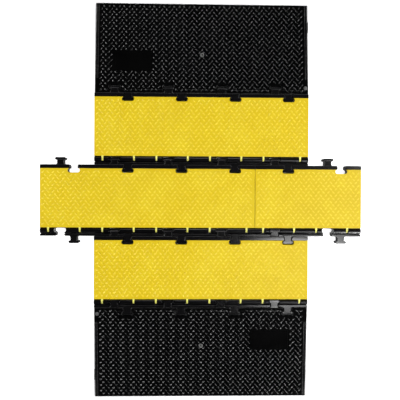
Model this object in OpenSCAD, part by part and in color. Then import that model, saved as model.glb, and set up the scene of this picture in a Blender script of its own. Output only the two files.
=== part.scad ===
// Cable protector ramp: three rows of lidded cable channels between two entry ramps.
// +X runs along the cables, +Y across them towards the far ramp, +Z up.
// The origin is on the floor under the middle of the whole crossing.

/* [Layout] */
// Distance from one pair of connectors to the next
cell_pitch = 228.6; // [190:0.1:280]
// Connector pairs on each edge of a full module
full_cells = 4; // [3:1:6]
// Connector pairs on each edge of the half module
half_cells = 2; // [1:1:3]
// Gap between neighbouring units
unit_gap = 0.8; // [0.4:0.1:2]

/* [Channels] */
// Number of cable channels in a module
channel_count = 5; // [2:1:6]
// Width of one channel
channel_w = 36; // [24:0.5:60]
// Wall between two channels
rib_w = 9.5; // [6:0.5:16]
// Thickness of the floor under the channels
floor_t = 5; // [3:0.5:10]
// Wall between the last channel and the notches of the upper edge
notch_wall = 8; // [5:0.5:16]
// Wall between the hinge band and the first channel
seat_w = 8; // [5:0.5:16]

/* [Lid] */
// Height of the lid's top above the floor
lid_top = 38; // [30:0.5:60]
// Thickness of the lid
lid_t = 7; // [5:0.5:12]
// Gap under the lid, round its edges and in front of the lip
lid_gap = 0.4; // [0.2:0.1:1]
// Width of the lip beyond the lid
lip_w = 16; // [10:0.5:24]
// Height of the lip below the lid's top
lip_drop = 1; // [0:0.5:4]

/* [Hinge] */
// Depth of the hinge band along the lower edge
band_d = 36; // [34:0.5:50]
// Distance of the hinge axis from the lower edge
axis_inset = 23; // [20:0.5:26]
// Radius of the barrels on the base
barrel_r = 11; // [9:0.5:12]
// Radius of the knuckle at the end of a lid's tab
knuckle_r = 7; // [5:0.5:8]
// Diameter of a hinge pin
pin_d = 6; // [4:0.5:8]
// Width of a lid's tab
tab_w = 8; // [6:0.5:14]
// Gap on each side of a tab
tab_gap = 0.75; // [0.4:0.05:1.5]
// Distance from the start of a cell to its first tab
tab_first = 35.6; // [20:0.1:40]
// Distance from the second tab to the end of its cell
tab_second = 59.6; // [40:0.1:70]
// Width of the outer lip of the hinge band
outer_lip_w = 9; // [6:0.5:12]
// Height of the outer lip of the hinge band
outer_lip_h = 33; // [26:0.5:34]
// Height of the groove between the outer lip and the barrels
groove_h = 20; // [12:0.5:24]

/* [Connectors] */
// How far a stud reaches beyond its edge
stud_l = 31; // [24:0.5:40]
// Height of a stud
stud_h = 33; // [26:0.5:33]
// Width of a stud's head
head_w = 45; // [36:0.5:56]
// Thickness of a stud's head
head_t = 12; // [8:0.5:16]
// Width of a stud's neck
neck_w = 28; // [20:0.5:36]
// Flare of the neck at its root, on each side
neck_flare = 3; // [0:0.5:5]
// Clearance between a stud and its notch
stud_fit = 3; // [1.5:0.5:4]

/* [Ramp] */
// Depth of a ramp, from its inner edge to its toe
ramp_d = 390; // [300:1:480]
// How far a ramp's sides stand in from the modules' ends
ramp_inset = 2; // [0:0.5:6]
// Height of the toe
toe_h = 4; // [3:0.5:8]
// Height of the inner edge
inner_h = 36.5; // [28:0.5:50]
// Thickness of the skin above the hollows
ramp_skin = 5; // [3:0.5:8]
// Thickness of the ribs between the hollows
ramp_rib = 6; // [4:0.5:10]
// Depth of the solid stretch behind the connectors
ramp_solid = 46; // [40:1:60]
// Number of hollows from the inner edge to the toe
hollow_rows = 3; // [2:1:5]
// Length of the bare pad
pad_l = 163; // [100:1:200]
// Width of the bare pad
pad_w = 78; // [50:1:100]
// Height of the bare pad above the slope
pad_t = 1; // [0.5:0.1:2]
// Distance from the ramp's end to the middle of the pad
pad_x = 164; // [120:1:200]
// Distance from the inner edge to the middle of the pad
pad_y = 137; // [100:1:200]
// How far the side lug stands out
lug_t = 3.5; // [2:0.5:8]
// Length of the side lug
lug_l = 45; // [30:1:60]
// Distance from the toe to the side lug
lug_from_toe = 74; // [40:1:120]
// Height of the side lug
lug_h = 8; // [4:0.5:10]

/* [Anchor] */
// Distance from the inner edge to the anchor bush
anchor_y = 166; // [120:1:240]
// Outer diameter of the bush
bush_d = 17.5; // [14:0.5:24]
// Diameter of the bush's bore
bush_bore = 8; // [6:0.5:12]
// How far the bush stands above the slope at its middle
bush_proud = 0.8; // [0:0.1:2]
// Gap between the bush and its seat, on the radius
bush_gap = 0.05; // [0.02:0.01:0.2]
// Height of the web under the bush
bush_web = 3; // [2:0.5:6]
// Wall of the boss round the bush
boss_wall = 6; // [4:0.5:10]

/* [Hidden] */
notch_d = stud_l + stud_fit;
module_w = band_d + seat_w + channel_count * channel_w + (channel_count - 1) * rib_w
    + notch_wall + notch_d;
row_pitch = module_w + unit_gap;
full_l = full_cells * cell_pitch - unit_gap;
half_l = half_cells * cell_pitch - unit_gap;
lid_under = lid_top - lid_t;
rib_top = lid_under - lid_gap;
lip_top = lid_top - lip_drop;
lid_from = band_d + lid_gap;
lid_to = module_w - lip_w - lid_gap;
axis_h = lid_top - barrel_r;
pin_r = pin_d / 2;
base_bore_r = pin_r + 0.05;
lid_bore_r = pin_r + 0.08;
knuckle_gap = 1;
barrel_to = axis_inset + barrel_r;
slot_w = tab_w + 2 * tab_gap;
notch_half = head_w / 2 + stud_fit;
pin_wall = 3;
pin_recess = 2;
lid_notch_extra = 0.5;
connector_shift = cell_pitch / 8;
anchor_h = inner_h - (inner_h - toe_h) * anchor_y / ramp_d;
hollow_pitch = cell_pitch / 4;
hollow_end = ramp_d * (inner_h - ramp_skin - 3) / (inner_h - toe_h);
hollow_step = (hollow_end - ramp_solid) / hollow_rows;
slope = atan((inner_h - toe_h) / ramp_d);
anchor_hole_r = bush_bore / 2 + 1;
full_x = -full_cells * cell_pitch / 2;
centre_x = -(full_cells + half_cells) * cell_pitch / 2;
half_x = centre_x + full_cells * cell_pitch;
ramp_y = 1.5 * row_pitch + unit_gap / 2;
black = [0.10, 0.10, 0.10];
yellow = [0.90, 0.78, 0.18];
steel = [0.72, 0.73, 0.74];
bush_grey = [0.45, 0.45, 0.46];
// How far cutters reach past what they cut
over = 1;
$fn = 48;

// Connector places along an edge, measured from a unit's left end
function left_place(cell) = (cell + 0.5) * cell_pitch - connector_shift - unit_gap / 2;
function right_place(cell) = left_place(cell) + 2 * connector_shift;

// Tab places along a module; the last tab of a full module sits near its end
function tab_place(cell, second) = cell * cell_pitch - unit_gap / 2
    + (second ? cell_pitch - tab_second : tab_first);
function tab_places(cells) = [
    for (cell = [0 : cells - 1])
        for (second = [false, true])
            second && cell == full_cells - 1
                ? cells * cell_pitch - tab_first - unit_gap / 2
                : tab_place(cell, second)
];

// Height of a ramp's slope at a distance from its inner edge
function slope_h(y) = inner_h - (inner_h - toe_h) * y / ramp_d;

// Puts an outline drawn in Y and Z along X
module along_x(length) {
    rotate([90, 0, 90])
        linear_extrude(length)
            children();
}

// Outline of a stud, pointing to +Y from an edge at 0; grown, it is a notch
module connector_outline(grow = 0) {
    root_half = neck_w / 2 + neck_flare + grow;
    neck_half = neck_w / 2 + grow;
    head_r = head_t / 2;
    head_half = head_w / 2 - head_r;
    polygon([
        [-root_half, -over], [root_half, -over], [root_half, 0],
        [neck_half, neck_flare * 2], [neck_half, stud_l - head_r],
        [-neck_half, stud_l - head_r], [-neck_half, neck_flare * 2], [-root_half, 0],
    ]);
    translate([-head_half, stud_l - head_t - grow])
        square([2 * head_half, head_t + 2 * grow]);
    for (side = [-1, 1])
        translate([side * head_half, stud_l - head_r])
            circle(head_r + grow);
}

module stud() {
    linear_extrude(stud_h)
        connector_outline();
}

module notch(extra = 0) {
    translate([0, 0, -over])
        linear_extrude(lid_top + 2 * over)
            connector_outline(stud_fit + extra);
}

// Studs and notches of an edge at Y 0 whose unit lies on its +Y side
module lower_studs(cells) {
    for (cell = [0 : cells - 1])
        translate([right_place(cell), 0, 0])
            mirror([0, 1, 0])
                stud();
}

module lower_notches(cells) {
    for (cell = [0 : cells - 1])
        translate([left_place(cell), 0, 0])
            notch();
}

// Studs and notches of the upper edge of a module
module upper_studs(cells) {
    for (cell = [0 : cells - 1])
        translate([left_place(cell), module_w, 0])
            stud();
}

module upper_notches(cells, extra = 0) {
    for (cell = [0 : cells - 1])
        translate([right_place(cell), module_w, 0])
            mirror([0, 1, 0])
                notch(extra);
}

// Cross-section of a base: hinge band, channel walls and lip
module base_outline() {
    difference() {
        union() {
            square([module_w, rib_top]);
            translate([module_w - lip_w, 0])
                square([lip_w, lip_top]);
            square([outer_lip_w, outer_lip_h]);
            translate([axis_inset, axis_h])
                circle(barrel_r);
        }
        for (channel = [0 : channel_count - 1])
            translate([band_d + seat_w + channel * (channel_w + rib_w), floor_t])
                square([channel_w, lid_top]);
        translate([outer_lip_w, groove_h])
            difference() {
                square([barrel_to - outer_lip_w, lid_top]);
                translate([axis_inset - outer_lip_w, axis_h - groove_h])
                    circle(barrel_r);
                translate([axis_inset - barrel_r - outer_lip_w, 0])
                    square([2 * barrel_r, axis_h - groove_h]);
            }
    }
}

// Open pocket in the hinge band for one tab of the lid
module tab_slot() {
    translate([-slot_w / 2, outer_lip_w, axis_h - knuckle_r - knuckle_gap])
        cube([slot_w, band_d + knuckle_gap - outer_lip_w, lid_top]);
}

module rod(from, to, r) {
    translate([from, axis_inset, axis_h])
        rotate([0, 90, 0])
            cylinder(h = to - from, r = r);
}

// Start and end of the pin bore in one stretch of the hinge band
function bore_from(stretch) =
    stretch == 0 ? pin_wall : left_place(stretch - 1) + notch_half - over;
function bore_to(stretch, cells, length) =
    stretch == 0 ? left_place(0) - notch_half + over
        : stretch == cells ? length - pin_wall
            : left_place(stretch) - notch_half - pin_wall;

// Start and end of the pin in it: the open end is the one at a notch
function pin_from(stretch) =
    bore_from(stretch) + (stretch == 0 ? 0.1 : pin_recess + over);
function pin_to(stretch, cells, length) =
    bore_to(stretch, cells, length) - (stretch == 0 ? pin_recess + over : 0.1);

module module_base(cells, length) {
    color(black)
        difference() {
            union() {
                along_x(length)
                    base_outline();
                lower_studs(cells);
                upper_studs(cells);
            }
            lower_notches(cells);
            upper_notches(cells);
            for (x = tab_places(cells))
                translate([x, 0, 0])
                    tab_slot();
            for (stretch = [0 : cells])
                rod(bore_from(stretch), bore_to(stretch, cells, length), base_bore_r);
        }
}

// Side view of one tab, with the hinge axis at 0: knuckle and arm up to the lid
module tab_outline() {
    reach = lid_from - axis_inset;
    circle(knuckle_r);
    polygon([
        [0, knuckle_r], [reach * 0.6, lid_top - axis_h], [reach + over, lid_top - axis_h],
        [reach + over, lid_under - axis_h], [knuckle_r, 0], [0, 0],
    ]);
}

module module_lid(cells, length) {
    color(yellow)
        difference() {
            union() {
                translate([lid_gap, lid_from, lid_under])
                    cube([length - 2 * lid_gap, lid_to - lid_from, lid_t]);
                for (x = tab_places(cells))
                    translate([x - tab_w / 2, axis_inset, axis_h])
                        along_x(tab_w)
                            tab_outline();
            }
            upper_notches(cells, lid_notch_extra);
            for (x = tab_places(cells))
                rod(x - tab_w, x + tab_w, lid_bore_r);
        }
}

module module_pin(stretch, cells, length) {
    color(steel)
        rod(pin_from(stretch), pin_to(stretch, cells, length), pin_r);
}

module long_pins(cells, length) {
    for (stretch = [1 : cells - 1])
        module_pin(stretch, cells, length);
}

// Hollows under a ramp, open below, between ribs along and across the slope; the
// two outer columns end at side walls as thick as a rib
module ramp_hollows() {
    last = 4 * full_cells - 1;
    for (column = [0 : last], row = [0 : hollow_rows - 1]) {
        from = ramp_solid + row * hollow_step;
        to = from + hollow_step - ramp_rib;
        start = column * hollow_pitch - unit_gap / 2;
        left = column == 0 ? ramp_inset + ramp_rib : start + ramp_rib / 2;
        right = column == last ? full_l - ramp_inset - ramp_rib : start + hollow_pitch - ramp_rib / 2;
        translate([left, 0, 0])
            along_x(right - left)
                polygon([
                    [from, -over], [to, -over],
                    [to, slope_h(to) - ramp_skin], [from, slope_h(from) - ramp_skin],
                ]);
    }
}

// A ramp with its inner edge at Y 0 and its toe at +Y
module ramp() {
    color(black)
        difference() {
            union() {
                difference() {
                    translate([ramp_inset, 0, 0])
                        along_x(full_l - 2 * ramp_inset)
                            polygon([[0, 0], [ramp_d, 0], [ramp_d, toe_h], [0, inner_h]]);
                    difference() {
                        ramp_hollows();
                        translate([full_l / 2, anchor_y, -over])
                            cylinder(h = inner_h, r = bush_d / 2 + boss_wall);
                    }
                }
                lower_studs(full_cells);
                translate([pad_x, pad_y, slope_h(pad_y)])
                    rotate([-slope, 0, 0])
                        translate([-pad_l / 2, -pad_w / 2, -ramp_skin / 2])
                            cube([pad_l, pad_w, ramp_skin / 2 + pad_t]);
                translate([full_l - ramp_inset - over, ramp_d - lug_from_toe - lug_l, 0])
                    cube([lug_t + over, lug_l, lug_h]);
            }
            lower_notches(full_cells);
            translate([full_l / 2, anchor_y, bush_web])
                cylinder(h = inner_h, r = bush_d / 2 + bush_gap);
            translate([full_l / 2, anchor_y, -over])
                cylinder(h = inner_h, r = anchor_hole_r);
        }
}

module anchor_bush() {
    color(bush_grey)
        translate([full_l / 2, anchor_y, bush_web])
            difference() {
                cylinder(h = anchor_h + bush_proud - bush_web, r = bush_d / 2);
                translate([0, 0, -over])
                    cylinder(h = inner_h, r = bush_bore / 2);
            }
}

// Puts a module in its row: 1 is the far row, 0 the centre row, -1 the near row
module in_row(row, x) {
    translate([x + unit_gap / 2, row * row_pitch - module_w / 2, 0])
        children();
}

module far_side() {
    translate([full_x + unit_gap / 2, ramp_y, 0])
        children();
}

module near_side() {
    rotate(180)
        far_side()
            children();
}

module far_row() { in_row(1, full_x) children(); }
module centre_row() { in_row(0, centre_x) children(); }
module half_row() { in_row(0, half_x) children(); }
module near_row() { in_row(-1, full_x) children(); }

module far_base() { far_row() module_base(full_cells, full_l); }
module centre_base() { centre_row() module_base(full_cells, full_l); }
module half_base() { half_row() module_base(half_cells, half_l); }
module near_base() { near_row() module_base(full_cells, full_l); }

module far_lid() { far_row() module_lid(full_cells, full_l); }
module centre_lid() { centre_row() module_lid(full_cells, full_l); }
module half_lid() { half_row() module_lid(half_cells, half_l); }
module near_lid() { near_row() module_lid(full_cells, full_l); }

module far_short_pin() { far_row() module_pin(0, full_cells, full_l); }
module far_long_pins() { far_row() long_pins(full_cells, full_l); }
module far_end_pin() { far_row() module_pin(full_cells, full_cells, full_l); }
module centre_short_pin() { centre_row() module_pin(0, full_cells, full_l); }
module centre_long_pins() { centre_row() long_pins(full_cells, full_l); }
module centre_end_pin() { centre_row() module_pin(full_cells, full_cells, full_l); }
module half_short_pin() { half_row() module_pin(0, half_cells, half_l); }
module half_long_pins() { half_row() long_pins(half_cells, half_l); }
module half_end_pin() { half_row() module_pin(half_cells, half_cells, half_l); }
module near_short_pin() { near_row() module_pin(0, full_cells, full_l); }
module near_long_pins() { near_row() long_pins(full_cells, full_l); }
module near_end_pin() { near_row() module_pin(full_cells, full_cells, full_l); }

module far_ramp() { far_side() ramp(); }
module near_ramp() { near_side() ramp(); }
module far_anchor_bush() { far_side() anchor_bush(); }
module near_anchor_bush() { near_side() anchor_bush(); }

far_base();
centre_base();
half_base();
near_base();
far_lid();
centre_lid();
half_lid();
near_lid();
far_short_pin();
far_long_pins();
far_end_pin();
centre_short_pin();
centre_long_pins();
centre_end_pin();
half_short_pin();
half_long_pins();
half_end_pin();
near_short_pin();
near_long_pins();
near_end_pin();
far_ramp();
near_ramp();
far_anchor_bush();
near_anchor_bush();
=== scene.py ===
"""Cable protector ramp: lidded cable channels in three rows, between two entry ramps.

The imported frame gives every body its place. The mouldings get rounded edges, a raised tread and
worn polyurethane; the pins and bushes get drawn and plated steel. Lengths are in metres.
"""
from math import atan2, cos, hypot, radians

import bpy
import numpy as np
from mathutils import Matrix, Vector


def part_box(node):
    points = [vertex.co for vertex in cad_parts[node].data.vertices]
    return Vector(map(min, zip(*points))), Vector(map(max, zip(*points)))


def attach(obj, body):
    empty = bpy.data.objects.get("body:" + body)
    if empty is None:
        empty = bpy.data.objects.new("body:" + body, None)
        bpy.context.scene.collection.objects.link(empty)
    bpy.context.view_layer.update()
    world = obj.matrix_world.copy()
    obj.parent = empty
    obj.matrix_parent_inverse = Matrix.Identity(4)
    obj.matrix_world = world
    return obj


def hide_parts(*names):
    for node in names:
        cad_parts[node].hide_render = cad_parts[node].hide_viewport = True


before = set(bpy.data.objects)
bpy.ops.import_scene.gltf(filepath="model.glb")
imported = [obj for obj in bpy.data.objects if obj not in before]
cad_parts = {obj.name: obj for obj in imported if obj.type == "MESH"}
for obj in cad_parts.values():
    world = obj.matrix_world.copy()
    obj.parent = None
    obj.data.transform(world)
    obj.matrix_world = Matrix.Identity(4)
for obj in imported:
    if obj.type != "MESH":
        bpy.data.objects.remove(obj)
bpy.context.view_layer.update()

MM = 0.001

# Camera, almost straight above the crossing
CAMERA_PLACE = Vector((-55.9, 17.4, 2167.7)) * MM
CAMERA_TURN = (radians(-0.394), radians(-1.322), radians(0.266))
CAMERA_LENS = 45.0
CAMERA_SENSOR = 36.0

# Rounding of moulded edges, and the shares of a ridge's height that its edges take
LID_EDGE_R = 1.2 * MM
BLACK_EDGE_R = 0.8 * MM
BUSH_EDGE_R = 0.6 * MM
EDGE_STEPS = 2
RIDGE_EDGE_SHARE = 0.35
DISC_EDGE_SHARE = 0.4

# Cleaning of CAD meshes: corners closer than this are one, faces that turn less are one
MERGE_GAP = 0.01 * MM
FLAT_TURN = radians(0.5)
CUT_GAP = 0.05 * MM
# Edges that turn more than this are rounded, and more than the second stay sharp in the shading
ROUNDED_TURN = radians(30)
SHARP_TURN = radians(40)
# How strongly the flats beside a rounded edge keep their own shading
FLAT_WEIGHT = 50
# A face looks straight up above the first, and a rounded top edge, painted pale as wear and as a
# painted highlight, lies between the others
LOOKS_UP = 0.99
PALE_EDGE_LOW, PALE_EDGE_HIGH = 0.2, 0.97
# A face looks sideways below this
LOOKS_SIDEWAYS = 0.5

# Tread: lozenge bars in rows, turned one way and the other in alternate columns
BAR_TURN = radians(45)
BAR_LENGTH = 16.0 * MM
BAR_BODY = 13.0 * MM
BAR_SINK = 0.5 * MM
# A bar's tips lie further out than this, and its top faces look up more than this
TIP_FROM = 0.49 * BAR_BODY
BAR_TOP = 0.9
# Width and rise of a bar, then how far each ring of its dome draws in and climbs
LID_BAR = (7.0 * MM, 1.1 * MM, (0.8, 0.65, 0.42), (0.50, 0.40, 0.08))
RAMP_BAR = (6.2 * MM, 1.6 * MM, (0.78, 0.54, 0.36), (0.45, 0.38, 0.14))
BAR_SIDES = 12
BAR_SPAN = hypot(BAR_LENGTH, LID_BAR[0]) * cos(BAR_TURN) / 2
BAR_PITCH = 21.5 * MM
RAMP_ROW_PITCH = 12.6 * MM
LID_ROW_PITCH = 13.75 * MM
LID_MARGIN = 5.0 * MM
RAMP_MARGIN = 18.0 * MM

# Connectors along an edge, one to a cell, and the hinge band behind the lower edge
CELL = 228.6 * MM
NOTCH_SHIFT = CELL / 8
STUD_REACH = 31.0 * MM
NOTCH_DEPTH = 34.0 * MM
NOTCH_HALF = 25.5 * MM
NECK_DEPTH = 16.0 * MM
NECK_HALF = 20.0 * MM
BAND_DEPTH = 36.0 * MM
LID_GAP = 0.4 * MM
HINGE_INSET = 23.0 * MM
HINGE_HEIGHT = 27.0 * MM
BARREL_R = 11.0 * MM
BARREL_SLACK = 0.5 * MM
OUTER_LIP = 9.0 * MM
BASE_LIP = 16.0 * MM
BUSH_BORE_R = 4.0 * MM

# Ramp, with its bare pad, bush, ridges and corner seat
RAMP_DEPTH = 390.0 * MM
RAMP_INNER_H = 36.5 * MM
RAMP_TOE_H = 4.0 * MM
RAMP_LENGTH = 913.6 * MM
PAD_MIDDLE = (164.0 * MM, 137.0 * MM)
PAD_SIZE = (163.0 * MM, 78.0 * MM)
PAD_CLEAR = BAR_LENGTH / 3
BUSH_FROM_INNER = 166.0 * MM
BUSH_CLEAR = 13.0 * MM
RAMP_INSET = 2.0 * MM
TREAD_FROM_INNER = 6.0 * MM
TREAD_FROM_TOE = 5.0 * MM
RIDGE_W = 2.0 * MM
RIDGE_H = 0.8 * MM
SIDE_RIDGES = (4.0 * MM, 11.5 * MM)
SIDE_RIDGE_FROM_INNER = 62.0 * MM
SIDE_RIDGE_FROM_TOE = 6.0 * MM
INNER_RIDGE = 14.0 * MM
DISC_R = 8.0 * MM
DISC_SIDES = 32
DISC_MARGIN = 4.0 * MM
DISC_FROM_INNER = 26.0 * MM

# Rib across the head of an upper stud, painted pale all over as a painted highlight
STUD_HEIGHT = 33.0 * MM
RIB_LENGTH = 38.0 * MM
RIB_W = 3.0 * MM
RIB_FROM_EDGE = 22.0 * MM

# Floor, and how far from the middle it starts and ends turning bright
FLOOR_SIZE = 30.0
FLOOR_DROP = 0.5 * MM
BRIGHT_X = (0.458, 0.466)
BRIGHT_Y = (0.850, 0.858)

# Surround, then the lights: name, place, point looked at, width and depth, watts
AMBIENT = 0.05
LIGHTS = (
    ("key_near", (4.2, -9.2, 2.9), (0, -0.7, 0), (1.3, 1.3), 815),
    ("key_far", (2.4, 0.2, 2.9), (-0.2, 0.3, 0), (0.6, 0.6), 56),
    ("key_top", (1.0, -0.64, 2.3), (1.0, -0.64, 0), (0.8, 0.6), 12),
    ("fill_left", (-4.2, 0.0, 2.2), (0, 0, 0), (1.8, 1.2), 145),
    ("fill_far", (0.0, 4.6, 2.2), (0, 0, 0), (1.8, 1.2), 50),
)

UNITS = ("far", "centre", "half", "near")
RAMPS = ("far", "near")
PINS = ("short_pin", "long_pins", "end_pin")
ROOT = "crossing"


# ---------------------------------------------------------------- modelling helpers

def take(piece):
    """Makes the piece the only selected and active one."""
    bpy.ops.object.select_all(action="DESELECT")
    piece.select_set(True)
    bpy.context.view_layer.objects.active = piece


def apply_modifier(piece, kind, **settings):
    """Adds a modifier with these settings and applies it."""
    take(piece)
    modifier = piece.modifiers.new(kind.title(), kind)
    for key, value in settings.items():
        setattr(modifier, key, value)
    bpy.ops.object.modifier_apply(modifier=modifier.name)


def settle(piece):
    """Moves the piece's place, turn and size into its mesh."""
    take(piece)
    bpy.ops.object.transform_apply(location=True, rotation=True, scale=True)


def copy_of(piece, name):
    """A copy of the piece with a mesh of its own."""
    twin = piece.copy()
    twin.data = piece.data.copy()
    twin.name = name
    bpy.context.scene.collection.objects.link(twin)
    return twin


def joined(pieces, name):
    """Joins the pieces into the first one."""
    bpy.ops.object.select_all(action="DESELECT")
    for piece in pieces:
        piece.select_set(True)
    bpy.context.view_layer.objects.active = pieces[0]
    bpy.ops.object.join()
    pieces[0].name = name
    return pieces[0]


def corners_of(piece):
    """The piece's corners as rows of x, y and z."""
    places = np.empty(len(piece.data.vertices) * 3)
    piece.data.vertices.foreach_get("co", places)
    return places.reshape(-1, 3)


def delete_corners(piece, unwanted):
    """Deletes the corners marked in a list of true and false."""
    mesh = piece.data
    mesh.polygons.foreach_set("select", [False] * len(mesh.polygons))
    mesh.edges.foreach_set("select", [False] * len(mesh.edges))
    mesh.vertices.foreach_set("select", unwanted)
    take(piece)
    bpy.ops.object.mode_set(mode="EDIT")
    bpy.ops.mesh.select_mode(type="VERT")
    bpy.ops.mesh.delete(type="VERT")
    bpy.ops.object.mode_set(mode="OBJECT")


def moulded(node, name, split=False):
    """A copy of a CAD node with clean faces, ready for its edges to be rounded.

    Faces that wind round many notches are split into triangles.
    """
    piece = bpy.data.objects.new(name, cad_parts[node].data.copy())
    bpy.context.scene.collection.objects.link(piece)
    piece.data.materials.clear()
    take(piece)
    bpy.ops.object.mode_set(mode="EDIT")
    bpy.ops.mesh.select_all(action="SELECT")
    bpy.ops.mesh.remove_doubles(threshold=MERGE_GAP)
    bpy.ops.mesh.dissolve_limited(angle_limit=FLAT_TURN)
    if split:
        bpy.ops.mesh.quads_convert_to_tris(quad_method="BEAUTY", ngon_method="BEAUTY")
    bpy.ops.object.mode_set(mode="OBJECT")
    return piece


def round_edges(piece, width):
    """Rounds every edge that turns more than ROUNDED_TURN."""
    apply_modifier(piece, "BEVEL", width=width, segments=EDGE_STEPS, limit_method="ANGLE",
                   angle_limit=ROUNDED_TURN, use_clamp_overlap=False,
                   miter_outer="MITER_ARC", harden_normals=False)


def cut_across(piece, y):
    """Adds an edge across the piece at this Y."""
    take(piece)
    bpy.ops.object.mode_set(mode="EDIT")
    bpy.ops.mesh.select_all(action="SELECT")
    bpy.ops.mesh.bisect(plane_co=(0, y, 0), plane_no=(0, 1, 0), threshold=CUT_GAP)
    bpy.ops.object.mode_set(mode="OBJECT")


def smooth(piece, keep_flats=True):
    """Shades the rounded edges smooth; the flats beside them stay flat unless told."""
    take(piece)
    bpy.ops.object.shade_smooth_by_angle(angle=SHARP_TURN)
    if keep_flats:
        apply_modifier(piece, "WEIGHTED_NORMAL", mode="FACE_AREA", weight=FLAT_WEIGHT,
                       keep_sharp=True)


# ---------------------------------------------------------------- tread

def tread_bar(width, rise, rings, heights):
    """One bar along X: a long disc with drawn-out tips, and a low dome on it.

    Its foot sinks BAR_SINK into the face that carries it.
    """
    bpy.ops.mesh.primitive_cylinder_add(vertices=BAR_SIDES, radius=0.5, depth=1.0,
                                        rotation=(0, 0, radians(90)))
    bar = bpy.context.object
    bar.name = "tread_bar"
    settle(bar)
    bar.scale = (BAR_BODY, width, BAR_SINK)
    bar.location = (0, 0, -BAR_SINK / 2)
    settle(bar)
    bpy.ops.object.mode_set(mode="EDIT")
    bpy.ops.mesh.select_mode(type="VERT")
    bpy.ops.mesh.select_all(action="DESELECT")
    bpy.ops.object.mode_set(mode="OBJECT")
    for corner in bar.data.vertices:
        corner.select = abs(corner.co.x) > TIP_FROM
    bpy.ops.object.mode_set(mode="EDIT")
    bpy.ops.transform.resize(value=(BAR_LENGTH / BAR_BODY, 1.0, 1.0))
    bpy.ops.mesh.select_mode(type="FACE")
    bpy.ops.mesh.select_all(action="DESELECT")
    bpy.ops.object.mode_set(mode="OBJECT")
    for face in bar.data.polygons:
        face.select = face.normal.z > BAR_TOP
    bpy.ops.object.mode_set(mode="EDIT")
    for share, height in zip(rings, heights):
        bpy.ops.mesh.extrude_region_move(TRANSFORM_OT_translate={"value": (0, 0, height * rise)})
        bpy.ops.transform.resize(value=(share, share, 1.0))
    bpy.ops.object.mode_set(mode="OBJECT")
    return bar


def tread_field(name, bar, low, high, row_pitch, keep):
    """A field of bars between two corners; keep(x, y) says which bars stay."""
    forward = tread_bar(*bar)
    backward = copy_of(forward, "backward_bar")
    per_bar = len(forward.data.vertices)
    forward.rotation_euler.z = BAR_TURN
    backward.rotation_euler.z = -BAR_TURN
    backward.location.x = BAR_PITCH
    settle(forward)
    settle(backward)
    row = joined([forward, backward], "tread_row")
    shifted = copy_of(row, "shifted_row")
    shifted.location = (-BAR_PITCH / 2, row_pitch, 0)
    settle(shifted)
    field = joined([row, shifted], name)
    across = int((high[0] - low[0]) / (2 * BAR_PITCH)) + 2
    along = int((high[1] - low[1]) / (2 * row_pitch)) + 2
    for count, offset in ((across, (2 * BAR_PITCH, 0, 0)), (along, (0, 2 * row_pitch, 0))):
        apply_modifier(field, "ARRAY", count=count, use_relative_offset=False,
                       use_constant_offset=True, constant_offset_displace=offset)
    rows = int((high[1] - low[1]) / row_pitch)
    spare = (high[1] - low[1] - rows * row_pitch) / 2
    field.location = (low[0] + BAR_LENGTH / 2, low[1] + spare + row_pitch / 2, 0)
    settle(field)
    places = corners_of(field).reshape(-1, per_bar, 3).mean(axis=1)
    unwanted = [
        not (low[0] + BAR_SPAN < x < high[0] - BAR_SPAN
             and low[1] + BAR_SPAN < y < high[1] - BAR_SPAN and keep(x, y))
        for x, y in places[:, :2]
    ]
    delete_corners(field, np.repeat(unwanted, per_bar))
    return field


def notch_places(edge_y, x_from, x_to, side):
    """Middles of the connector notches on an edge; side is -1 or 1 along X."""
    cells = round((x_to - x_from) / CELL)
    start = (x_from + x_to - cells * CELL) / 2
    return [(start + (cell + 0.5) * CELL + side * NOTCH_SHIFT, edge_y) for cell in range(cells)]


def clear_of_notches(places):
    """A test that a bar at x, y lies clear of every notch's head and neck."""
    def test(x, y):
        for notch_x, notch_y in places:
            aside, deep = abs(x - notch_x) - BAR_SPAN, abs(y - notch_y)
            in_head = aside < NOTCH_HALF and NECK_DEPTH - BAR_SPAN < deep < NOTCH_DEPTH + BAR_SPAN
            in_neck = aside < NECK_HALF and deep < NECK_DEPTH
            if in_head or in_neck:
                return False
        return True
    return test


# ---------------------------------------------------------------- shared shader groups

def new_group(name, inputs, outputs):
    """A shader node group with named inputs and outputs."""
    group = bpy.data.node_groups.new(name, "ShaderNodeTree")
    for label, kind, default in inputs:
        socket = group.interface.new_socket(name=label, in_out="INPUT", socket_type=kind)
        socket.default_value = default
    for label, kind in outputs:
        group.interface.new_socket(name=label, in_out="OUTPUT", socket_type=kind)
    nodes = group.nodes
    return group, nodes.new("NodeGroupInput"), nodes.new("NodeGroupOutput")


def noise(tree, scale, detail=3.0, roughness=0.5, coordinates=None):
    """A noise texture on the given coordinates."""
    node = tree.nodes.new("ShaderNodeTexNoise")
    node.inputs["Detail"].default_value = detail
    node.inputs["Roughness"].default_value = roughness
    if hasattr(scale, "links"):
        tree.links.new(scale, node.inputs["Scale"])
    else:
        node.inputs["Scale"].default_value = scale
    if coordinates is not None:
        tree.links.new(coordinates, node.inputs["Vector"])
    return node.outputs["Fac"]


def spread(tree, value, low, high):
    """Stretches the part of a value between low and high over 0 to 1."""
    node = tree.nodes.new("ShaderNodeMapRange")
    node.interpolation_type = "SMOOTHSTEP"
    node.inputs["From Min"].default_value = low
    node.inputs["From Max"].default_value = high
    tree.links.new(value, node.inputs["Value"])
    return node.outputs["Result"]


def maths(tree, operation, a, b):
    """One sum on two values or sockets."""
    node = tree.nodes.new("ShaderNodeMath")
    node.operation = operation
    for socket, value in zip(node.inputs, (a, b)):
        if hasattr(value, "links"):
            tree.links.new(value, socket)
        else:
            socket.default_value = value
    return node.outputs["Value"]


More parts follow.
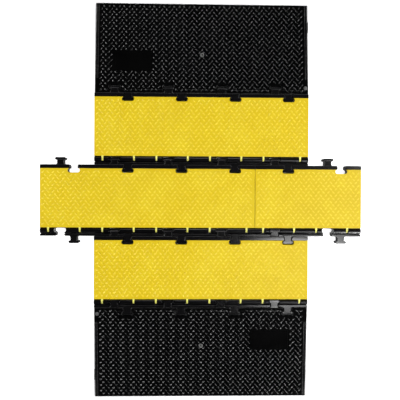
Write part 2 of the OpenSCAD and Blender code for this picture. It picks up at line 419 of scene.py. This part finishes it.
def blended(tree, share, a, b):
    """Colour a, going to colour b as share goes to 1."""
    node = tree.nodes.new("ShaderNodeMix")
    node.data_type = "RGBA"
    for label, value in (("Factor_Float", share), ("A_Color", a), ("B_Color", b)):
        socket = next(s for s in node.inputs if s.identifier == label)
        if hasattr(value, "links"):
            tree.links.new(value, socket)
        else:
            socket.default_value = value
    return next(s for s in node.outputs if s.identifier == "Result_Color")


def grain_group():
    """Fine moulded grain with a slow swell: a height for bump."""
    group, given, out = new_group(
        "moulded_grain",
        [("Coordinates", "NodeSocketVector", (0, 0, 0)),
         ("Grain Scale", "NodeSocketFloat", 1400.0),
         ("Swell Scale", "NodeSocketFloat", 30.0), ("Swell", "NodeSocketFloat", 0.3)],
        [("Height", "NodeSocketFloat")],
    )
    place = given.outputs["Coordinates"]
    fine = noise(group, given.outputs["Grain Scale"], 2.0, 0.6, place)
    slow = noise(group, given.outputs["Swell Scale"], 2.0, 0.5, place)
    raised = maths(group, "MULTIPLY", slow, given.outputs["Swell"])
    group.links.new(maths(group, "ADD", fine, raised), out.inputs["Height"])
    return group


def dust_group():
    """Dry dust: broad clouds broken by fine specks. The mask is 1 where it lies thick."""
    group, given, out = new_group(
        "dry_dust",
        [("Coordinates", "NodeSocketVector", (0, 0, 0)), ("Amount", "NodeSocketFloat", 0.5)],
        [("Mask", "NodeSocketFloat")],
    )
    place = given.outputs["Coordinates"]
    clouds = spread(group, noise(group, 7.0, 4.0, 0.55, place), 0.42, 0.72)
    specks = spread(group, noise(group, 420.0, 3.0, 0.7, place), 0.45, 0.75)
    patchy = maths(group, "MULTIPLY", clouds, maths(group, "ADD", specks, 0.35))
    group.links.new(maths(group, "MULTIPLY", patchy, given.outputs["Amount"]), out.inputs["Mask"])
    return group


def scuff_group():
    """Long fine scratches along and across the crossing. The mask is 1 in a scratch."""
    group, given, out = new_group(
        "tyre_scuffs",
        [("Coordinates", "NodeSocketVector", (0, 0, 0)), ("Amount", "NodeSocketFloat", 0.5)],
        [("Mask", "NodeSocketFloat")],
    )
    masks = []
    for turn, stretch in ((radians(78), (14, 420, 60)), (radians(101), (9, 300, 60))):
        mapping = group.nodes.new("ShaderNodeMapping")
        mapping.inputs["Rotation"].default_value = (0, 0, turn)
        mapping.inputs["Scale"].default_value = stretch
        group.links.new(given.outputs["Coordinates"], mapping.inputs["Vector"])
        lines = noise(group, 1.0, 2.0, 0.5, mapping.outputs["Vector"])
        masks.append(spread(group, lines, 0.66, 0.74))
    both = maths(group, "MAXIMUM", masks[0], masks[1])
    where = spread(group, noise(group, 5.0, 3.0, 0.5, given.outputs["Coordinates"]), 0.45, 0.7)
    marked = maths(group, "MULTIPLY", both, where)
    group.links.new(maths(group, "MULTIPLY", marked, given.outputs["Amount"]), out.inputs["Mask"])
    return group


GRAIN = grain_group()
DUST = dust_group()
SCUFFS = scuff_group()


def placed(material, group, **values):
    """Puts a shared group into a material, reading Object coordinates."""
    tree = material.node_tree
    node = tree.nodes.new("ShaderNodeGroup")
    node.node_tree = group
    tree.links.new(object_coordinates(material), node.inputs["Coordinates"])
    for label, value in values.items():
        node.inputs[label.replace("_", " ")].default_value = value
    return node


def object_coordinates(material):
    """The material's Object coordinates, from one node that all its textures share."""
    tree = material.node_tree
    found = next((n for n in tree.nodes if n.type == "TEX_COORD"), None)
    return (found or tree.nodes.new("ShaderNodeTexCoord")).outputs["Object"]


def new_material(name, rough, specular=0.5, metallic=0.0):
    """A material with one Principled shader. Returns it, its tree and its shader."""
    material = bpy.data.materials.new(name)
    material.use_nodes = True
    shader = material.node_tree.nodes["Principled BSDF"]
    shader.inputs["Roughness"].default_value = rough
    shader.inputs["Specular IOR Level"].default_value = specular
    shader.inputs["Metallic"].default_value = metallic
    return material, material.node_tree, shader


def bumped(tree, shader, height, strength, depth):
    """Feeds a height to the shader's normal."""
    bump = tree.nodes.new("ShaderNodeBump")
    bump.inputs["Strength"].default_value = strength
    bump.inputs["Distance"].default_value = depth
    tree.links.new(height, bump.inputs["Height"])
    tree.links.new(bump.outputs["Normal"], shader.inputs["Normal"])


# Polyurethane: its pale patches, wandering roughness, dulling by dust and depth of grain
PATCH_SCALE = 11.0
# how far the pale patches are drawn out along X when they run as streaks of painted sheen
SHEEN_STREAKS = (0.9, 28, 28)
MOTTLE_SCALE = 60.0
DUST_DULLING = 0.35
GRAIN_DEPTH = 0.25 * MM

# Steel: its drawn lines and dull spots
STEEL_LINES = (40, 1800, 1800)
LINE_DEPTH = 0.05 * MM
SPOT_SCALE = 220.0
SPOT_SHADE = 0.45
SPOT_DULLING = 0.25


def stretched(tree, coordinates, scale):
    """The coordinates scaled along each axis; a small scale draws a texture out."""
    mapping = tree.nodes.new("ShaderNodeMapping")
    mapping.inputs["Scale"].default_value = scale
    tree.links.new(coordinates, mapping.inputs["Vector"])
    return mapping.outputs["Vector"]


def polyurethane(name, colour, faded, dusty, rough, dust, scuffs, grain=0.35, specular=0.5,
                 mottle=0.14, sheen_streaks=False):
    """Moulded polyurethane: colour going pale in patches, under dust and scuffs.

    Mottle is how far the roughness wanders. With sheen streaks, the pale patches run along X as
    streaks: partly wear, partly a painted sheen.
    """
    material, tree, shader = new_material(name, rough, specular)
    place = object_coordinates(material)
    if sheen_streaks:
        drawn_out = stretched(tree, place, SHEEN_STREAKS)
        patches = spread(tree, noise(tree, PATCH_SCALE, 4.0, 0.6, drawn_out), 0.42, 0.66)
    else:
        patches = spread(tree, noise(tree, PATCH_SCALE, 4.0, 0.6, place), 0.35, 0.7)
    base = blended(tree, patches, colour, faded)
    dust_mask = placed(material, DUST, Amount=dust).outputs["Mask"]
    scuff_mask = placed(material, SCUFFS, Amount=scuffs).outputs["Mask"]
    covered = maths(tree, "MAXIMUM", dust_mask, scuff_mask)
    tree.links.new(blended(tree, covered, base, dusty), shader.inputs["Base Color"])
    duller = maths(tree, "MULTIPLY", covered, DUST_DULLING)
    mottled = maths(tree, "MULTIPLY", noise(tree, MOTTLE_SCALE, 3.0, 0.5, place), mottle)
    roughness = maths(tree, "ADD", maths(tree, "ADD", duller, mottled), rough - mottle / 2)
    tree.links.new(roughness, shader.inputs["Roughness"])
    height = placed(material, GRAIN).outputs["Height"]
    bumped(tree, shader, height, grain, GRAIN_DEPTH)
    return material


def drawn_steel(name, colour, rough, metallic=1.0):
    """Drawn or plated steel with fine marks along X and dull spots."""
    material, tree, shader = new_material(name, rough, 0.5, metallic)
    place = object_coordinates(material)
    lines = noise(tree, 1.0, 2.0, 0.5, stretched(tree, place, STEEL_LINES))
    spots = spread(tree, noise(tree, SPOT_SCALE, 4.0, 0.6, place), 0.5, 0.75)
    dull = tuple(SPOT_SHADE * c for c in colour[:3]) + (1,)
    tree.links.new(blended(tree, spots, colour, dull), shader.inputs["Base Color"])
    rougher = maths(tree, "MULTIPLY", spots, SPOT_DULLING)
    tree.links.new(maths(tree, "ADD", rougher, rough), shader.inputs["Roughness"])
    bumped(tree, shader, lines, 0.25, LINE_DEPTH)
    return material


BLACK = polyurethane(
    "black_polyurethane",
    colour=(0.0010, 0.0010, 0.0011, 1), faded=(0.0018, 0.0018, 0.0019, 1),
    dusty=(0.010, 0.009, 0.008, 1), rough=0.40, dust=0.05, scuffs=0.10,
    grain=0.06, specular=0.02, mottle=0.05)
# flat tops of lips and studs, polished by feet; their pale bluish streaks along X are a painted
# sheen
BLACK_WORN = polyurethane(
    "worn_black",
    colour=(0.0006, 0.0006, 0.0008, 1), faded=(0.0026, 0.0024, 0.0032, 1),
    dusty=(0.020, 0.019, 0.018, 1), rough=0.17, dust=0.05, scuffs=0.10,
    grain=0.02, specular=0.70, mottle=0.06, sheen_streaks=True)
# hinge barrels, glossy, with pale bluish streaks along X that are a painted sheen
BLACK_BARREL = polyurethane(
    "barrel_black",
    colour=(0.0006, 0.0006, 0.0008, 1), faded=(0.0020, 0.0019, 0.0026, 1),
    dusty=(0.020, 0.019, 0.018, 1), rough=0.20, dust=0.05, scuffs=0.10,
    grain=0.02, specular=0.36, mottle=0.06, sheen_streaks=True)
# top edges, stud ribs and side ridges, painted pale grey: partly rubbing wear, partly a painted
# highlight where they catch the light
BLACK_EDGE = polyurethane(
    "rubbed_and_highlit_black",
    colour=(0.010, 0.010, 0.011, 1), faded=(0.070, 0.068, 0.070, 1),
    dusty=(0.090, 0.085, 0.080, 1), rough=0.32, dust=0.20, scuffs=0.25,
    grain=0.08, specular=0.6, sheen_streaks=True)
# the corner seat's pale grey is a painted highlight, standing in for a glint on it
SEAT_HIGHLIGHT = polyurethane(
    "seat_painted_highlight",
    colour=(0.07, 0.07, 0.07, 1), faded=(0.13, 0.13, 0.13, 1),
    dusty=(0.12, 0.11, 0.10, 1), rough=0.35, dust=0.20, scuffs=0.25, grain=0.08)
BLACK_TREAD = polyurethane(
    "black_tread",
    colour=(0.0014, 0.0014, 0.0015, 1), faded=(0.0024, 0.0024, 0.0025, 1),
    dusty=(0.020, 0.019, 0.018, 1), rough=0.26, dust=0.08, scuffs=0.12,
    grain=0.03, specular=0.68, mottle=0.04)
YELLOW = polyurethane(
    "yellow_polyurethane",
    colour=(0.735, 0.525, 0.011, 1), faded=(0.775, 0.573, 0.018, 1),
    dusty=(0.56, 0.40, 0.03, 1), rough=0.42, dust=0.14, scuffs=0.12, specular=0.18)
# tread bars painted paler yellow than the plate: a painted highlight on the raised bars
YELLOW_TREAD = polyurethane(
    "yellow_tread_highlit",
    colour=(0.87, 0.66, 0.030, 1), faded=(0.92, 0.73, 0.05, 1),
    dusty=(0.56, 0.41, 0.03, 1), rough=0.30, dust=0.14, scuffs=0.22, grain=0.12)
YELLOW_TAB = polyurethane(
    "pale_yellow",
    colour=(0.86, 0.82, 0.16, 1), faded=(0.90, 0.88, 0.24, 1),
    dusty=(0.62, 0.56, 0.16, 1), rough=0.36, dust=0.12, scuffs=0.15)
PIN_STEEL = drawn_steel("drawn_steel", (0.62, 0.62, 0.63, 1), 0.3)
BUSH_STEEL = drawn_steel("plated_steel", (0.22, 0.22, 0.215, 1), 0.45, metallic=0.55)
# near-black steel for the bore walls: painted shade inside the hole
BORE_SHADE = drawn_steel("bore_painted_shade", (0.02, 0.02, 0.02, 1), 0.45)


# ---------------------------------------------------------------- pieces

def add_slots(piece, *materials):
    """Gives a piece its materials, in order."""
    for material in materials:
        piece.data.materials.append(material)


def paint(piece, material, belongs):
    """Puts one of the piece's materials on the faces that belongs(centre, normal) picks."""
    slot = piece.data.materials.find(material.name)
    for face in piece.data.polygons:
        if belongs(face.center, face.normal):
            face.material_index = slot


def worn_and_highlit_edge(centre, normal):
    """Picks the upward-sloping rounded edges, painted pale: partly wear from feet and wheels,
    partly a painted highlight.
    """
    return PALE_EDGE_LOW < normal.z < PALE_EDGE_HIGH


def low_ridge(x_from, x_to, y_from, y_to, material):
    """A low rounded ridge on a top that lies flat at Z 0."""
    bpy.ops.mesh.primitive_cube_add(size=1.0)
    ridge = bpy.context.object
    ridge.scale = (x_to - x_from, y_to - y_from, RIDGE_H + BAR_SINK)
    ridge.location = ((x_from + x_to) / 2, (y_from + y_to) / 2, (RIDGE_H - BAR_SINK) / 2)
    settle(ridge)
    round_edges(ridge, RIDGE_EDGE_SHARE * RIDGE_H)
    add_slots(ridge, material)
    return ridge


def module_base(unit):
    """A base: hinge band, channels, lip and ribbed studs, with rounded edges."""
    node = f"{unit}_base"
    base = moulded(node, f"{unit}_channel_base", split=True)
    round_edges(base, BLACK_EDGE_R)
    add_slots(base, BLACK, BLACK_WORN, BLACK_EDGE, BLACK_BARREL)
    low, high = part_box(node)
    band_y = low[1] + STUD_REACH + HINGE_INSET
    # rounded edges painted pale grey: wear, with a painted highlight
    paint(base, BLACK_EDGE, worn_and_highlit_edge)
    paint(base, BLACK_WORN, lambda centre, normal: (
        normal.z > LOOKS_UP and (centre.y < low[1] + STUD_REACH + OUTER_LIP
                                 or centre.y > high[1] - STUD_REACH - BASE_LIP)))
    paint(base, BLACK_BARREL, lambda centre, normal: (
        hypot(centre.y - band_y, centre.z - HINGE_HEIGHT) < BARREL_R + BARREL_SLACK))
    smooth(base)
    edge_y = high[1] - STUD_REACH
    for x, y in notch_places(edge_y, low[0], high[0], -1):
        rib_y = y + RIB_FROM_EDGE
        # the rib is painted pale all over: a painted highlight across the stud's head
        rib = low_ridge(x - RIB_LENGTH / 2, x + RIB_LENGTH / 2, rib_y - RIB_W / 2,
                        rib_y + RIB_W / 2, BLACK_EDGE)
        rib.location.z = STUD_HEIGHT
        settle(rib)
        smooth(rib)
        base = joined([base, rib], base.name)
    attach(base, ROOT)
    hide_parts(node)


def module_lid(unit):
    """A lid with its hinge tabs and its tread."""
    node = f"{unit}_lid"
    low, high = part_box(node)
    edge_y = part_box(f"{unit}_base")[1][1] - STUD_REACH
    lid = moulded(node, f"{unit}_hinged_lid")
    round_edges(lid, LID_EDGE_R)
    add_slots(lid, YELLOW, YELLOW_TAB)
    # the plate starts beyond the hinge tabs
    plate_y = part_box(f"{unit}_base")[0][1] + STUD_REACH + BAND_DEPTH + LID_GAP
    cut_across(lid, plate_y + LID_EDGE_R)
    paint(lid, YELLOW_TAB, lambda centre, normal: centre.y < plate_y)
    smooth(lid)
    field_low = (low[0] + LID_MARGIN, plate_y + LID_MARGIN)
    field_high = (high[0] - LID_MARGIN, high[1] - LID_MARGIN)
    notches = notch_places(edge_y, low[0], high[0], 1)
    field = tread_field(f"{unit}_lid_tread", LID_BAR, field_low, field_high, LID_ROW_PITCH,
                        clear_of_notches(notches))
    field.location.z = high[2]
    settle(field)
    # the bars carry the paler yellow, a painted highlight
    add_slots(field, YELLOW_TREAD)
    smooth(field, keep_flats=False)
    lid = joined([lid, field], f"{unit}_hinged_lid")
    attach(lid, f"{unit}_cover")
    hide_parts(node)


def ramp_ridges(half, notches):
    """Two ridges down each side margin and one behind the inner edge, between its notches."""
    ridges = []
    for inset in SIDE_RIDGES:
        for side in (-1, 1):
            x = side * (half - RAMP_INSET - inset)
            # side ridges painted pale grey: wear, with a painted highlight along them
            ridges.append(low_ridge(x - RIDGE_W / 2, x + RIDGE_W / 2, SIDE_RIDGE_FROM_INNER,
                                    RAMP_DEPTH - SIDE_RIDGE_FROM_TOE, BLACK_EDGE))
    starts = [-half + RAMP_MARGIN] + [x + NOTCH_HALF for x, y in notches]
    ends = [x - NOTCH_HALF for x, y in notches] + [half - RAMP_MARGIN]
    for x_from, x_to in zip(starts, ends):
        ridges.append(low_ridge(x_from, x_to, INNER_RIDGE - RIDGE_W / 2,
                                INNER_RIDGE + RIDGE_W / 2, BLACK_TREAD))
    return ridges


def corner_disc(half):
    """The smooth round seat in the ramp's inner corner, short of the side ridges. It is painted
    pale grey, a painted highlight.
    """
    bpy.ops.mesh.primitive_cylinder_add(vertices=DISC_SIDES, radius=DISC_R,
                                        depth=RIDGE_H + BAR_SINK)
    disc = bpy.context.object
    disc.location = (half - RAMP_INSET - DISC_R - DISC_MARGIN, DISC_FROM_INNER,
                     (RIDGE_H - BAR_SINK) / 2)
    settle(disc)
    round_edges(disc, DISC_EDGE_SHARE * RIDGE_H)
    add_slots(disc, SEAT_HIGHLIGHT)
    return disc


def entry_ramp(side):
    """A ramp with its tread, ridges and corner seat, and a bare pad.

    Its tread is laid out flat, as for the far ramp, with the inner edge at Y 0.
    """
    node = f"{side}_ramp"
    low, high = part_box(node)
    ramp = moulded(node, f"{side}_entry_ramp", split=True)
    round_edges(ramp, BLACK_EDGE_R)
    add_slots(ramp, BLACK, BLACK_EDGE, BLACK_WORN)
    inner_y = high[1] - RAMP_DEPTH if side == "far" else low[1] + RAMP_DEPTH
    # rounded edges near the inner edge painted pale grey: wear, with a painted highlight
    paint(ramp, BLACK_EDGE, lambda centre, normal: (
        worn_and_highlit_edge(centre, normal) and abs(centre.y) < abs(inner_y) + NOTCH_DEPTH))
    paint(ramp, BLACK_WORN, lambda centre, normal: (
        normal.z > LOOKS_UP and abs(centre.y) < abs(inner_y)))
    smooth(ramp)
    half = RAMP_LENGTH / 2
    notches = notch_places(0, -half, half, -1)
    beside_notch = clear_of_notches(notches)
    pad_x = PAD_MIDDLE[0] - half

    def keep(x, y):
        on_pad = (abs(x - pad_x) < PAD_SIZE[0] / 2 + PAD_CLEAR
                  and abs(y - PAD_MIDDLE[1]) < PAD_SIZE[1] / 2 + PAD_CLEAR)
        on_bush = hypot(x, y - BUSH_FROM_INNER) < BUSH_CLEAR
        return beside_notch(x, y) and not on_pad and not on_bush

    field_low = (-half + RAMP_MARGIN, TREAD_FROM_INNER)
    field_high = (half - RAMP_MARGIN, RAMP_DEPTH - TREAD_FROM_TOE)
    field = tread_field(f"{side}_ramp_tread", RAMP_BAR, field_low, field_high, RAMP_ROW_PITCH,
                        keep)
    add_slots(field, BLACK_TREAD)
    field = joined([field, *ramp_ridges(half, notches), corner_disc(half)], field.name)
    slope = atan2(RAMP_INNER_H - RAMP_TOE_H, RAMP_DEPTH)
    field.rotation_euler.x = -slope
    settle(field)
    field.location = (0, inner_y, RAMP_INNER_H)
    if side == "near":
        field.rotation_euler.z = radians(180)
    settle(field)
    smooth(field, keep_flats=False)
    ramp = joined([ramp, field], f"{side}_entry_ramp")
    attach(ramp, ROOT)
    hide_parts(node)


def anchor_bush(side):
    """A steel bush with rounded rims; its bore walls are painted near black, a painted shade
    inside the hole.
    """
    node = f"{side}_anchor_bush"
    bush = moulded(node, f"{side}_steel_bush")
    round_edges(bush, BUSH_EDGE_R)
    add_slots(bush, BUSH_STEEL, BORE_SHADE)
    low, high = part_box(node)
    middle = (low[0] + high[0]) / 2, (low[1] + high[1]) / 2
    # the bore walls get the painted shade
    paint(bush, BORE_SHADE, lambda centre, normal: (
        abs(normal.z) < LOOKS_SIDEWAYS
        and hypot(centre.x - middle[0], centre.y - middle[1]) < BUSH_BORE_R + BUSH_EDGE_R))
    smooth(bush)
    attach(bush, ROOT)
    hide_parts(node)


def hinge_pins(unit):
    """The pins keep their CAD shape and get drawn steel."""
    for kind in PINS:
        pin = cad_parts[f"{unit}_{kind}"]
        pin.data.materials.clear()
        add_slots(pin, PIN_STEEL)


for unit in UNITS:
    module_base(unit)
    module_lid(unit)
    hinge_pins(unit)
for side in RAMPS:
    entry_ramp(side)
    anchor_bush(side)


# ---------------------------------------------------------------- floor, light and camera

def studio_floor():
    """A pale floor that glows round the crossing and stays dark under it.

    So the gaps between the units look dark, as they do over a real floor.
    """
    bpy.ops.mesh.primitive_plane_add(size=FLOOR_SIZE, location=(0, 0, -FLOOR_DROP))
    floor = bpy.context.object
    floor.name = "studio_floor"
    material, tree, shader = new_material("pale_floor", 0.9, 0.1)
    tone = spread(tree, noise(tree, 2.0, 2.0, 0.5, object_coordinates(material)), 0.3, 0.7)
    colour = blended(tree, tone, (0.93, 0.93, 0.93, 1), (0.95, 0.95, 0.95, 1))
    tree.links.new(colour, shader.inputs["Base Color"])
    split = tree.nodes.new("ShaderNodeSeparateXYZ")
    tree.links.new(object_coordinates(material), split.inputs["Vector"])
    beside = spread(tree, maths(tree, "ABSOLUTE", split.outputs["X"], 0.0), *BRIGHT_X)
    beyond = spread(tree, maths(tree, "ABSOLUTE", split.outputs["Y"], 0.0), *BRIGHT_Y)
    lit = maths(tree, "MAXIMUM", beside, beyond)
    tree.links.new(blended(tree, lit, (0, 0, 0, 1), (1, 1, 1, 1)), shader.inputs["Emission Color"])
    shader.inputs["Emission Strength"].default_value = 1.0
    floor.data.materials.append(material)


def softbox(name, place, aim, size, power):
    """A soft rectangular light that looks at a point."""
    light = bpy.data.lights.new(name, "AREA")
    light.shape = "RECTANGLE"
    light.size, light.size_y = size
    light.energy = power
    lamp = bpy.data.objects.new(name, light)
    lamp.location = place
    lamp.rotation_euler = (Vector(aim) - Vector(place)).to_track_quat("-Z", "Y").to_euler()
    bpy.context.scene.collection.objects.link(lamp)


def studio_camera():
    """The camera that the crossing is seen through."""
    data = bpy.data.cameras.new("camera")
    data.lens = CAMERA_LENS
    data.sensor_width = CAMERA_SENSOR
    camera = bpy.data.objects.new("camera", data)
    camera.location = CAMERA_PLACE
    camera.rotation_euler = CAMERA_TURN
    bpy.context.scene.collection.objects.link(camera)
    bpy.context.scene.camera = camera


def studio_world(ambient):
    """A dim surround for the light, that looks as pale as the floor to the camera."""
    world = bpy.data.worlds.new("studio")
    world.use_nodes = True
    tree = world.node_tree
    background = tree.nodes["Background"]
    background.inputs["Color"].default_value = (1, 1, 1, 1)
    seen = tree.nodes.new("ShaderNodeLightPath")
    strength = tree.nodes.new("ShaderNodeMapRange")
    strength.inputs["To Min"].default_value = ambient
    strength.inputs["To Max"].default_value = 1.0
    tree.links.new(seen.outputs["Is Camera Ray"], strength.inputs["Value"])
    tree.links.new(strength.outputs["Result"], background.inputs["Strength"])
    bpy.context.scene.world = world


studio_floor()
studio_world(AMBIENT)
for light in LIGHTS:
    softbox(*light)
studio_camera()
bpy.context.scene.view_settings.view_transform = "Standard"
